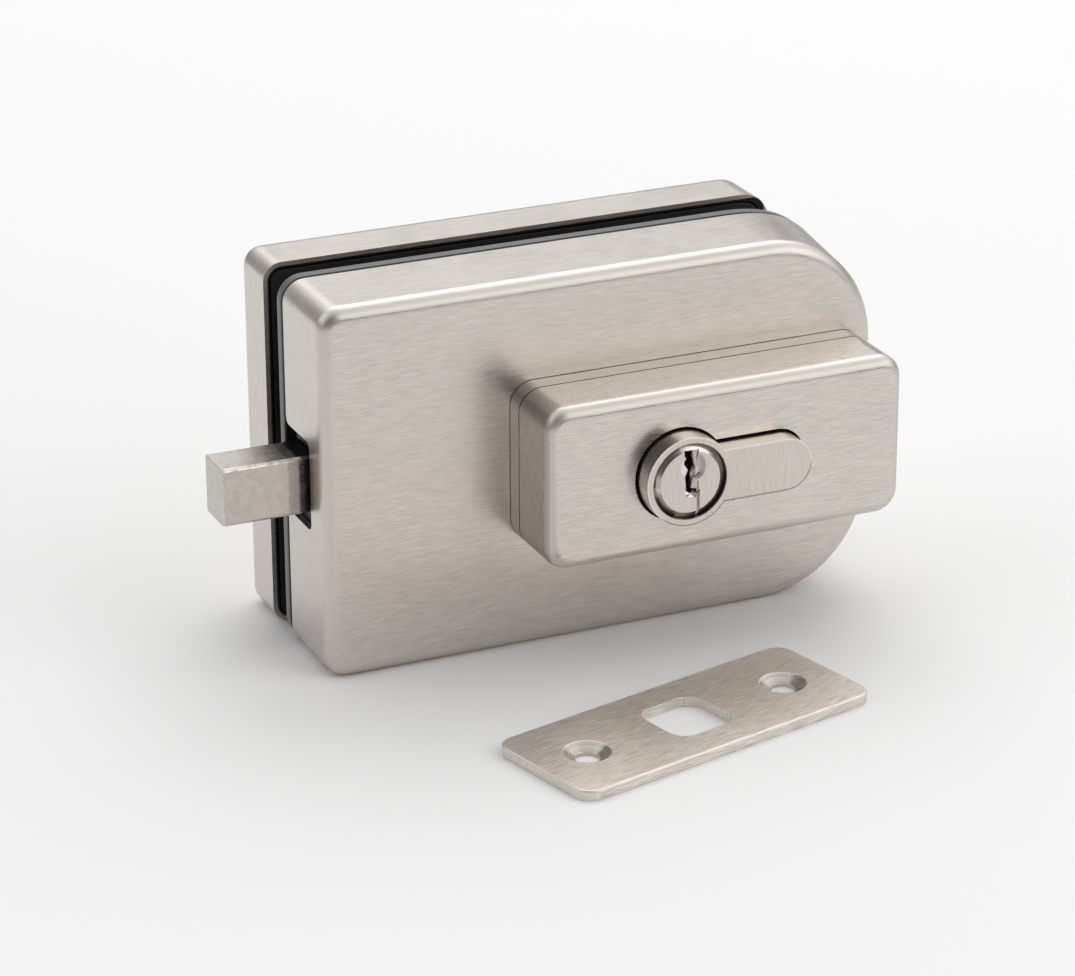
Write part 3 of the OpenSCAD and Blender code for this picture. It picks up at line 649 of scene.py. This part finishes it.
def brushed(name, colour, along, ends=None, rough=0.36, grain=1.0, metal=1.0, details=(),
            end_shade=0.0, rolled=0.10):
    """Satin metal with hairlines along one direction, and along another on faces across it, with
    painted shade on those faces as deep as asked.
    """
    f = finishes()
    s = Surface(name)
    place = s.place()
    fine = s.grain(place, along, f.hairline, HAIRLINE_RUN)
    scratch = s.grain(place, along, f.hairline * SCRATCH_WIDTH, SCRATCH_RUN)
    across = None
    if ends is not None:
        across = abs(s.facing(along)).step(0.62, 0.8)
        fine = s.blend(across, fine, s.grain(place, ends, f.hairline, HAIRLINE_RUN))
        end_scratch = s.grain(place, ends, f.hairline * SCRATCH_WIDTH, SCRATCH_RUN)
        scratch = s.blend(across, scratch, end_scratch)
    flat = s.square_on()
    strong = (flat * 0.7 + 0.3) * grain
    patches = s.noise(place, PATCH_SIZE, detail=2.0).step(0.35, 0.7)
    cloud = s.noise(place, CLOUD_SIZE, detail=3.0)
    soft, worn = s.edge(f.edge_radius)
    nicks = scratch.step(0.60, 0.74) * (patches * 0.75 + 0.25)
    nicks = nicks - (1 - scratch).step(0.62, 0.76) * 0.6
    tone = ((fine - 0.5) * 1.1 - nicks * 0.30) * strong + (cloud - 0.5) * 0.22 + worn * 0.30
    # painted shade on the faces across the grain
    if across is not None:
        tone = tone - across * end_shade
    roughness = rough + (fine - 0.5) * 0.18 + nicks * 0.05
    roughness = roughness + (cloud - 0.5) * 0.10 + (1 - flat) * rolled
    height = fine + scratch * 0.8
    for detail in details:
        tone, roughness, height = detail(s, place, tone, roughness, height)
    base = s.toned(tone, colour, 0.70, 1.30)
    base = s.mix((-tone - 0.5).step(0.0, 0.8), base, times(SCRATCH_SHARE, colour))
    normal = s.bumped(height, f.hairline_depth * grain, soft)
    return s.finish(Base_Color=base, Metallic=metal, Roughness=roughness, Normal=normal)


def cast(name, colour, rough, grit, wear=0.35, shade=None, broken=1.3, bright=0.0):
    """Cast or blasted metal with a fine pitted skin, and edges rubbed bright if bright is set."""
    f = finishes()
    s = Surface(name)
    place = s.place()
    pits = s.noise(place, grit, detail=3.0, rough=0.6)
    skin = s.noise(place, grit * 6, detail=2.0)
    cloud = s.noise(place, 12 * MM, detail=3.0)
    soft, worn = s.edge(f.edge_radius * broken)
    if bright:
        worn = worn.most(1 - s.square_on())
    rubbed = worn * (s.noise(place, 1.2 * MM, detail=3.0).step(0.42, 0.58) * 0.8 + 0.2)
    tone = (pits - 0.5) * 1.3 + (skin - 0.5) * 0.5 + (cloud - 0.5) * 0.3 + rubbed * wear
    if shade is not None:
        tone = tone - shade(s, place)
    base = s.toned(tone, colour, 0.62, 1.38)
    base = s.mix((-tone - 0.5).step(0.0, 0.8), base, times(0.06, colour))
    base = s.mix(rubbed * bright, base, times(1.5, colour))
    roughness = rough + (skin - 0.5) * 0.2 - rubbed * 0.16
    normal = s.bumped(pits + skin * 1.5, 0.022 * MM, soft)
    return s.finish(Base_Color=base, Metallic=1.0, Roughness=roughness, Normal=normal)


def plated(name, colour, axis):
    """Bright plated steel with turned marks and a little tarnish."""
    f = finishes()
    s = Surface(name)
    place = s.place()
    marks = s.grain(place, axis, 0.35 * MM, 0.2)
    cloud = s.noise(place, 3 * MM, detail=3.0)
    soft, worn = s.edge(f.edge_radius * 0.7)
    tone = (marks - 0.5) * 0.2 + (cloud - 0.5) * 0.35 + worn * 0.3
    base = s.toned(tone, colour, 0.72, 1.3)
    roughness = 0.27 + (cloud - 0.5) * 0.2
    normal = s.bumped(marks, 0.008 * MM, soft)
    return s.finish(Base_Color=base, Metallic=1.0, Roughness=roughness, Normal=normal)


def rubber(name, colour, rough=0.62, sheen=0.15, shade_edge=None):
    """Matt sealing rubber with a moulded skin and dusty edges, with painted shade on its front part
    up to a given depth.
    """
    f = finishes()
    s = Surface(name)
    place = s.place()
    skin = s.noise(place, 0.35 * MM, detail=3.0, rough=0.6)
    dust = s.noise(place, 6 * MM, detail=4.0)
    soft, worn = s.edge(f.edge_radius * 2)
    tone = (skin - 0.5) * 0.3 + (dust - 0.5) * 0.5 + worn * 0.25
    base = s.toned(tone, colour, 0.72, 1.35)
    # painted shade on the front part, where it lies in the gap behind the case's rim
    if shade_edge is not None:
        dark = 1 - s.dot(place, Y).step(shade_edge, shade_edge + 0.12 * MM)
        base = s.mix(dark, base, times(0.10, colour))
    roughness = rough + (dust - 0.5) * 0.2
    normal = s.bumped(skin, 0.02 * MM, soft)
    shine = {"Sheen_Weight": sheen, "Specular_IOR_Level": 0.4}
    return s.finish(Base_Color=base, Roughness=roughness, Normal=normal, **shine)


def coated(name, colour):
    """Black coated sheet or moulded plastic with an even orange-peel skin."""
    f = finishes()
    s = Surface(name)
    place = s.place()
    peel = s.noise(place, 0.9 * MM, detail=1.5)
    rub = s.noise(place, 10 * MM, detail=4.0)
    soft, worn = s.edge(f.edge_radius)
    tone = (peel - 0.5) * 0.2 + (rub - 0.5) * 0.5 + worn * 0.5
    base = s.toned(tone, colour, 0.7, 1.6)
    roughness = 0.5 + (rub - 0.5) * 0.25
    normal = s.bumped(peel, 0.02 * MM, soft)
    return s.finish(Base_Color=base, Roughness=roughness, Normal=normal)


def shoulder_dark_reflection(s, place, tone, roughness, height):
    """Painted dark reflection on the case's round end, where it faces up and outward."""
    return tone - s.facing(DARK_REFLECTION_FACING).step(0.86, 0.99) * 0.55, roughness, height


def seam_line(s, place, tone, roughness, height):
    """A dark joint where the housing's cover meets its base."""
    off = abs(s.dot(place, Y) - HOUSING_SEAM)
    return tone - (1 - off.step(*SEAM_FADE)) * 1.6, roughness, height


def cut_rim_shade(s, place, tone, roughness, height):
    """Painted shade on the counter cover's cut edge, which faces the dark gap: brown at the outer
    band and dark further inside.
    """
    behind = s.dot(place, Y) - REAR_RIM
    cut = (-s.facing(Y)).step(0.8, 0.95) * (1 - behind.step(*RIM_DEPTH))
    low, high = COUNTER_BOX
    short = (low, (high[0] - COUNTER_SHORT, high[1], high[2]))
    deep = (-rim_distance(s, place, short, COUNTER_TIGHT[0])).step(*RIM_BROWN)
    return tone - cut * (0.50 + deep * 1.2), roughness + cut * 0.2, height


def face_edge_light(s, place, tone, roughness, height):
    """A painted highlight above and painted shade below along the edge of the cylinder's face,
    standing in for a fine chamfer.
    """
    out = s.minus(place, PLUG_AXIS)
    across, up = s.dot(out, X), s.dot(out, Z)
    ring = (across ** 2 + up ** 2) ** 0.5 - RING_RADIUS
    past = across - across.most(0.0).least(TAIL_REACH)
    tail = (past ** 2 + up ** 2) ** 0.5 - TAIL_RADIUS
    rim = ring.least(tail).step(*FACE_LIGHT_FADE) * (-s.facing(Y)).step(0.9, 0.97)
    # painted highlight round the upper part of the edge, painted shade round the lower part
    low = (past * 0.6 - up).step(*FACE_SHADE_LOW)
    return tone + rim * (0.35 - low * 1.15), roughness, height


def turned_plug(s, place, tone, roughness, height):
    """A turned and polished bevel round the plug with painted reflections on it, a dark joint round
    it, and painted light and shade in the dish by the slot.
    """
    out = s.minus(place, PLUG_AXIS)
    radius = s.off_axis(out, Y)
    rings = s.rings(place, PLUG_AXIS, Y, TURNED_WIDTH)
    turned = 1 - abs(s.facing(Y)).step(0.90, 0.97)
    joint = 1 - abs(radius - PLUG_RADIUS - JOINT_OFFSET).step(*JOINT_FADE)
    # painted reflections on the bevel: a lighter base, darkened in patches
    reflections = 0.2
    for way, fade, dark in PLUG_REFLECTIONS:
        reflections = reflections - (s.dot(out, way) / radius).step(*fade) * dark
    tone = s.blend(turned, tone, (rings - 0.5) * 0.8 + reflections) - joint
    # painted light on the dish's left side and painted shade on its right side
    hollow = s.minus(place, DISH_MIDDLE)
    dish_shading = 1 - s.off_axis(hollow, Y).step(DISH_RADIUS - 0.4 * MM, DISH_RADIUS)
    right = (s.dot(hollow, X) / DISH_RADIUS).step(-0.35, 0.75)
    tone = tone + dish_shading * (0.45 - right * 1.15)
    roughness = s.blend(turned, roughness, (rings - 0.5) * 0.2 + 0.25)
    return tone, roughness, s.blend(turned, height, rings)


def turned_sinks(s, place, tone, roughness, height):
    """Turned rings in the strike plate's two countersinks."""
    near = [s.length(s.minus(place, hole)) for hole in STRIKE_HOLES]
    inside = 1 - near[0].least(near[1]).step(STRIKE_SINK, STRIKE_SINK + 0.2 * MM)
    mask = inside * (1 - s.facing(Z).step(0.9, 0.97))
    first, second = (s.rings(place, hole, Z, SINK_WIDTH) for hole in STRIKE_HOLES)
    rings = s.blend((near[1] - near[0]).step(-MM, MM), second, first)
    tone = s.blend(mask, tone, (rings - 0.5) * 1.8 - 0.35)
    roughness = s.blend(mask, roughness, 0.22)
    return tone, roughness, s.blend(mask, height, rings)


def bolt_end_shade(s, place):
    """Painted shade on the bolt towards the case: a first darker step, the top face darker still,
    and the deepest shade where it goes into the case.
    """
    x = s.dot(place, X)
    top_shade = x.step(*TOP_SHADE_FADE) * 0.5 + 0.03
    on_top = s.facing(Z).step(0.7, 0.95) * top_shade
    return x.step(*SHADE_STEP_FADE) * 0.35 + on_top + x.step(*DEEP_SHADE_FADE) * 0.75


def mouth_shade(s, place):
    """Painted shade on the chassis round the bolt's mouth."""
    return 1 - s.dot(place, X).step(*MOUTH_SHADE_FADE)


def key_wards():
    """The two ribs of metal that stand in the key's slot and steer the key."""
    shape = bmesh.new()

    def added(x, z, deep):
        return shape.verts.new((PLUG_AXIS.x + x * MM, PLUG_FACE + deep * MM, PLUG_AXIS.z + z * MM))

    for ring in (RIGHT_WARD, FOOT_WARD):
        front = [added(*point) for point in ring]
        back = [shape.verts.new((v.co.x, PLUG_FACE + WARD_BACK, v.co.z)) for v in front]
        x, z, deep = (sum(c) / len(ring) for c in zip(*ring))
        centre = added(x, z, deep - WARD_CROWN)
        for i in range(len(ring)):
            j = (i + 1) % len(ring)
            shape.faces.new((front[i], front[j], centre))
            shape.faces.new((front[j], front[i], back[i], back[j]))
        shape.faces.new(back[::-1])
    bmesh.ops.recalc_face_normals(shape, faces=shape.faces[:])
    mesh = bpy.data.meshes.new("key_wards")
    shape.to_mesh(mesh)
    shape.free()
    return linked("key_wards", mesh)


class LOCK_OT_covers(bpy.types.Operator):
    """Gives the two covers the photograph's outline and their satin brushed skin"""

    bl_idname = "lock.covers"
    bl_label = "Covers"

    def execute(self, context):
        colour = tuple(finishes().steel)
        case = reshaped("front_cover", "case_shell", case_outline)
        satin = brushed("case_satin", colour, X, ends=Z, rough=0.31, details=[shoulder_dark_reflection])
        case.data.materials.append(satin)
        counter = reshaped("rear_cover", "counter_shell", counter_outline)
        satin = brushed("counter_satin", colour, X, ends=Z, rough=0.33, details=[cut_rim_shade])
        counter.data.materials.append(satin)
        return {"FINISHED"}


class LOCK_OT_housing(bpy.types.Operator):
    """Gives the cylinder housing its satin brushed skin"""

    bl_idname = "lock.housing"
    bl_label = "Cylinder housing"

    def execute(self, context):
        look = {"colour": tuple(finishes().steel), "along": X, "ends": Z, "details": [seam_line]}
        # the housing's end faces get painted shade
        cover = brushed("housing_satin", rough=0.28, end_shade=0.50, rolled=0.16, **look)
        base = brushed("base_satin", rough=0.31, end_shade=0.45, **look)
        dress(["housing_cover"], cover)
        dress(["housing_base"], base)
        return {"FINISHED"}


class LOCK_OT_cylinder(bpy.types.Operator):
    """Gives the cylinder its upright brushed face, its turned plug and the wards in its slot"""

    bl_idname = "lock.cylinder"
    bl_label = "Cylinder"

    def execute(self, context):
        f = finishes()
        nickel = tuple(f.nickel)
        steel = tuple(f.plated)
        look = {"colour": nickel, "along": Z, "grain": 0.7}
        body = brushed("body_satin", rough=0.30, details=[turned_plug, face_edge_light], **look)
        dress(["cylinder_body"], body)
        plug = brushed("plug_satin", rough=0.28, details=[turned_plug], **look)
        dress(["cylinder_plug"], plug)
        wards = key_wards()
        wards.data.materials.append(plated("ward_steel", times(0.9, nickel), Z))
        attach(wards, "plug")
        dress(["key_pins", "pin_caps"], plated("pin_brass", tuple(f.brass), X))
        dress(["driver_pins", "pin_springs"], plated("pin_steel", steel, X))
        dress(["cam", "circlip"], plated("cam_steel", steel, Y))
        dress(["cylinder_screw"], plated("cylinder_screw_steel", steel, Z))
        return {"FINISHED"}


class LOCK_OT_bolt(bpy.types.Operator):
    """Gives the bolt its fine cast skin with bright worn edges, and its carriage a plated one"""

    bl_idname = "lock.bolt"
    bl_label = "Bolt and carriage"

    def execute(self, context):
        f = finishes()
        steel = tuple(f.plated)
        # the bolt's shade function paints shade on its end towards the case
        skin = {"rough": 0.34, "grit": 0.26 * MM, "wear": 0.6, "shade": bolt_end_shade}
        bolt = cast("bolt_cast", times(0.90, f.nickel), broken=3.2, bright=1.0, **skin)
        dress(["bolt"], bolt)
        dress(["bolt_carriage", "carriage_rivets"], plated("carriage_steel", steel, X))
        dress(["detent_spring", "detent_rivets"], plated("spring_steel", steel, X))
        return {"FINISHED"}


class LOCK_OT_strike(bpy.types.Operator):
    """Gives the strike plate grain along its length and turned countersinks"""

    bl_idname = "lock.strike"
    bl_label = "Strike plate"

    def execute(self, context):
        # the strike plate's steel is painted lighter, painted light that stands in for light the
        # plate does not catch
        colour = times(1.20, finishes().steel)
        look = {"grain": 2.2, "metal": 0.8, "details": [turned_sinks]}
        dress(["strike_plate"], brushed("strike_satin", colour, STRIKE_ALONG, **look))
        return {"FINISHED"}


class LOCK_OT_gaskets(bpy.types.Operator):
    """Gives the gaskets the photograph's outline, and them and the screw sleeves dark skins"""

    bl_idname = "lock.gaskets"
    bl_label = "Gaskets and sleeves"

    def execute(self, context):
        grey = tuple(finishes().gasket)
        lip = reshaped("front_gasket", "gasket_lip", lip_outline)
        shade_edge = LIP_BOX[0][1] + LIP_SHADE_DEPTH
        lip.data.materials.append(rubber("grey_gasket", grey, rough=0.42, shade_edge=shade_edge))
        sheet = reshaped("rear_gasket", "counter_gasket", counter_outline)
        sheet.data.materials.append(rubber("dark_gasket", (0.012, 0.012, 0.012), sheen=0.0))
        dress(["clamp_sleeves"], coated("sleeve_plastic", (0.03, 0.03, 0.03)))
        return {"FINISHED"}


class LOCK_OT_works(bpy.types.Operator):
    """Gives the chassis, lid, counter plate and screws their plain finishes"""

    bl_idname = "lock.works"
    bl_label = "Chassis, lid and screws"

    def execute(self, context):
        f = finishes()
        steel = tuple(f.plated)
        zinc = cast("zinc_cast", tuple(f.zinc), rough=0.55, grit=0.7 * MM, shade=mouth_shade)
        dress(["lock_case", "rear_plate"], zinc)
        dress(["case_lid"], coated("lid_black", (0.04, 0.04, 0.045)))
        deep_screws = ["lid_screws", "clamp_screws", "housing_screws"]
        dress(deep_screws, plated("screw_steel_deep", steel, Y))
        dress(["cover_screws"], plated("screw_steel_upright", steel, Z))
        return {"FINISHED"}


def area_light(name, size, place, aim, power):
    """A rectangular lamp at a place, turned towards a point."""
    data = bpy.data.lights.new(name, "AREA")
    data.shape = "RECTANGLE"
    data.size, data.size_y = size
    data.energy = power
    lamp = linked(name, data)
    lamp.location = place
    lamp.rotation_euler = (Vector(aim) - Vector(place)).to_track_quat("-Z", "Y").to_euler()


def floor_sheet(name, half):
    """A wide flat floor, at the height of the lock's underside."""
    mesh = bpy.data.meshes.new(name)
    shape = bmesh.new()
    bmesh.ops.create_grid(shape, x_segments=8, y_segments=8, size=half)
    shape.to_mesh(mesh)
    shape.free()
    return linked(name, mesh)


def photo_camera(s):
    """The camera that was fitted to the photograph's edges."""
    a, e, turn = s.azimuth, s.elevation, s.roll
    back = Vector((-math.sin(a) * math.cos(e), -math.cos(a) * math.cos(e), math.sin(e)))
    level = Vector((math.cos(a), -math.sin(a), 0))
    rise = Vector((math.sin(a) * math.sin(e), math.cos(a) * math.sin(e), math.cos(e)))
    right = math.cos(turn) * level + math.sin(turn) * rise
    up = -math.sin(turn) * level + math.cos(turn) * rise
    data = bpy.data.cameras.new("photo_camera")
    data.sensor_fit = "HORIZONTAL"
    data.sensor_width = SENSOR_WIDTH
    data.lens = s.focal_pixels * data.sensor_width / PHOTO_WIDTH
    data.clip_start = 0.01
    data.clip_end = 20
    camera = linked("photo_camera", data)
    eye = CASE_MIDDLE + s.distance * back - s.aside[0] * right - s.aside[1] * up
    turned = Matrix((right, up, back)).transposed().to_4x4()
    camera.matrix_world = Matrix.Translation(eye) @ turned
    bpy.context.scene.camera = camera


class LOCK_OT_stage(bpy.types.Operator):
    """Makes the floor, the light and the camera"""

    bl_idname = "lock.stage"
    bl_label = "Studio"

    def execute(self, context):
        s = studio()
        scene = context.scene
        floor = floor_sheet("floor", FLOOR_HALF)
        pale = Surface("floor_pale")
        tint = pale.noise(pale.place(), 0.6, detail=1.0)
        light = tuple(s.floor_colour)
        base = pale.mix(tint, times(0.985, light), light)
        matt = pale.finish(Base_Color=base, Roughness=0.9, Specular_IOR_Level=0.0)
        floor.data.materials.append(matt)

        world = bpy.data.worlds.new("studio_sky")
        scene.world = world
        sky = Surface("studio_sky", world)
        height = sky.towards(Z)
        tone = sky.add("ValToRGB", {"stops": SKY_GREYS}, {"Fac": height * 0.5 + 0.5})
        side = sky.towards(s.dark_side).step(*DARK_SIDE_FADE)
        tone = sky.mix(side, tone, DARK_SIDE_GREY)
        corner = sky.towards(s.dark_corner).step(*DARK_CORNER_FADE)
        tone = sky.mix(corner, tone, DARK_CORNER_GREY)
        glow = sky.add("Background", None, {"Color": tone, "Strength": s.sky})
        sky.add("OutputWorld", None, {"Surface": glow})

        area_light("key", power=s.key, **KEY_LAMP)
        area_light("fill", power=s.key * FILL_SHARE, **FILL_LAMP)
        photo_camera(s)
        scene.view_settings.view_transform = "Standard"
        return {"FINISHED"}


class LOCK_PT_looks(bpy.types.Panel):
    """Lists the steps that dress the lock"""

    bl_idname = "LOCK_PT_looks"
    bl_label = "Door lock"
    bl_space_type = "VIEW_3D"
    bl_region_type = "UI"
    bl_category = "Door lock"

    def draw(self, context):
        column = self.layout.column()
        for step in STEPS:
            column.operator(step.bl_idname)
        for group in (context.scene.lock_finish, context.scene.lock_studio):
            for name in group.__annotations__:
                column.prop(group, name)


STEPS = (
    LOCK_OT_covers,
    LOCK_OT_housing,
    LOCK_OT_cylinder,
    LOCK_OT_bolt,
    LOCK_OT_strike,
    LOCK_OT_gaskets,
    LOCK_OT_works,
    LOCK_OT_stage,
)
CLASSES = (LockFinishSettings, LockStudioSettings, *STEPS, LOCK_PT_looks)


def register():
    for cls in CLASSES:
        bpy.utils.register_class(cls)
    bpy.types.Scene.lock_finish = bpy.props.PointerProperty(type=LockFinishSettings)
    bpy.types.Scene.lock_studio = bpy.props.PointerProperty(type=LockStudioSettings)


def unregister():
    del bpy.types.Scene.lock_studio
    del bpy.types.Scene.lock_finish
    for cls in reversed(CLASSES):
        bpy.utils.unregister_class(cls)


def main():
    register()
    bpy.ops.lock.covers()
    bpy.ops.lock.housing()
    bpy.ops.lock.cylinder()
    bpy.ops.lock.bolt()
    bpy.ops.lock.strike()
    bpy.ops.lock.gaskets()
    bpy.ops.lock.works()
    bpy.ops.lock.stage()


if __name__ == "__main__":
    main()
